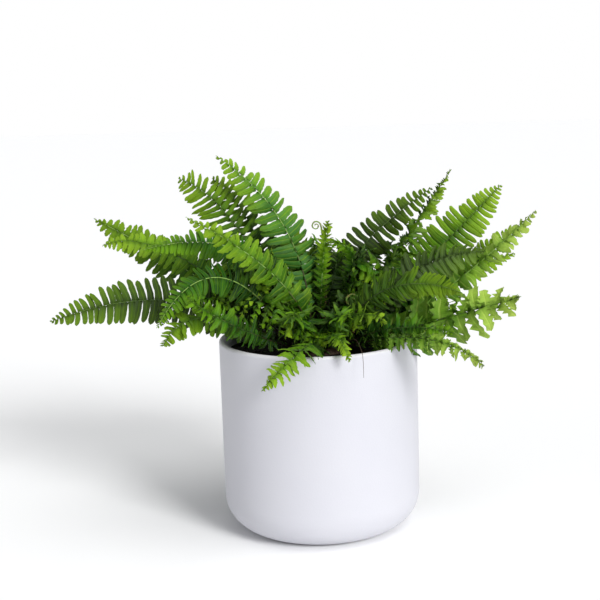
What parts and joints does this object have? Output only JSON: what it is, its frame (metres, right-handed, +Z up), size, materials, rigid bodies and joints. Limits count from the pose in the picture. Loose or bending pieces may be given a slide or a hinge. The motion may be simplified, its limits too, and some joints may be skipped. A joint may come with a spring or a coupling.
{
  "type": "potted fern",
  "caption": "Young sword fern with arching fronds of small leaflets, growing in a straight-sided white ceramic pot with a rounded foot.",
  "frame": {"origin": "middle of the pot's flat base", "axes": "+Z up along the pot's middle line, +X to the viewer's right, -Y towards the viewer"},
  "size_m": [0.337, 0.2221, 0.264],
  "materials": {
    "pot_ceramic": "matte",
    "potting_mix": "matte",
    "crown_scales": "matte",
    "mature_leaf": "satin",
    "bright_leaf": "satin",
    "young_leaf": "satin",
    "crozier_stalk": "satin",
    "runner_hair": "matte"
  },
  "bodies": {
    "root": {"pot": "pot_ceramic", "potting_soil": "potting_mix", "crown": "crown_scales", "frond_left_long": "mature_leaf", "frond_left_upper": "bright_leaf", "frond_left_forked": "bright_leaf", "frond_left_arching": "mature_leaf", "frond_left_drooping": "mature_leaf", "frond_left_low": "mature_leaf", "frond_left_rim": "young_leaf", "frond_bright": "bright_leaf", "frond_olive": "mature_leaf", "frond_olive_small": "mature_leaf", "frond_tall": "mature_leaf", "frond_young_upright": "young_leaf", "frond_young_strip": "young_leaf", "frond_right_edgewise": "mature_leaf", "frond_right_dark": "mature_leaf", "frond_right_tall": "bright_leaf", "frond_right_ruffled": "bright_leaf", "frond_right_forked": "bright_leaf", "frond_right_far": "bright_leaf", "frond_right_shaded": "mature_leaf", "frond_right_crisped": "bright_leaf", "frond_right_broad": "bright_leaf", "frond_right_rim": "bright_leaf", "frond_right_low": "mature_leaf", "frond_front_right": "mature_leaf", "frond_front_rim": "young_leaf", "frond_front_small": "young_leaf", "frond_skirt_1": "mature_leaf", "frond_skirt_2": "mature_leaf", "frond_skirt_3": "mature_leaf", "frond_skirt_4": "mature_leaf", "frond_skirt_5": "mature_leaf", "frond_skirt_6": "mature_leaf", "frond_skirt_7": "mature_leaf", "frond_skirt_8": "mature_leaf", "frond_back_1": "mature_leaf", "frond_back_2": "mature_leaf", "frond_back_3": "mature_leaf", "frond_back_4": "mature_leaf", "frond_back_5": "mature_leaf", "frond_back_6": "mature_leaf", "frond_back_7": "mature_leaf", "frond_inner_1": "mature_leaf", "frond_inner_2": "mature_leaf", "frond_inner_3": "mature_leaf", "frond_inner_4": "mature_leaf", "frond_inner_5": "mature_leaf", "frond_inner_6": "mature_leaf", "frond_inner_7": "mature_leaf", "frond_inner_8": "mature_leaf", "frond_inner_9": "mature_leaf", "crozier_middle": "crozier_stalk", "crozier_left": "crozier_stalk", "crozier_right": "crozier_stalk", "crozier_back": "crozier_stalk", "runner_front": "runner_hair", "runner_side": "runner_hair"}
  },
  "joints": []
}
